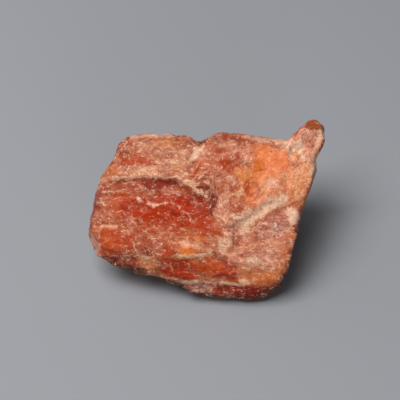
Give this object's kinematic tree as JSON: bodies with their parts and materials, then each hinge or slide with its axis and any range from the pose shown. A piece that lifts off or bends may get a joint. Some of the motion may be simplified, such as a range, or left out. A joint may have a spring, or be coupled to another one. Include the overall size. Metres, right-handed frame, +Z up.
{
  "type": "rough triplite stone",
  "caption": "Rough piece of orange-red triplite, a lopsided block with cleavage ledges, chips and a short spur at one corner, resting on a small flat spot.",
  "frame": {"origin": "middle of the stone's box, on the surface that it rests on", "axes": "+Z up, +X along the stone's length towards the spur, +Y towards the far side of the ledged face"},
  "size_m": [0.034, 0.0216, 0.0164],
  "materials": {
    "triplite": "rough cleavage faces, waxy to sugary, orange-red with pale pink ledges and maroon hollows"
  },
  "bodies": {
    "root": {"stone": "triplite"}
  },
  "joints": []
}
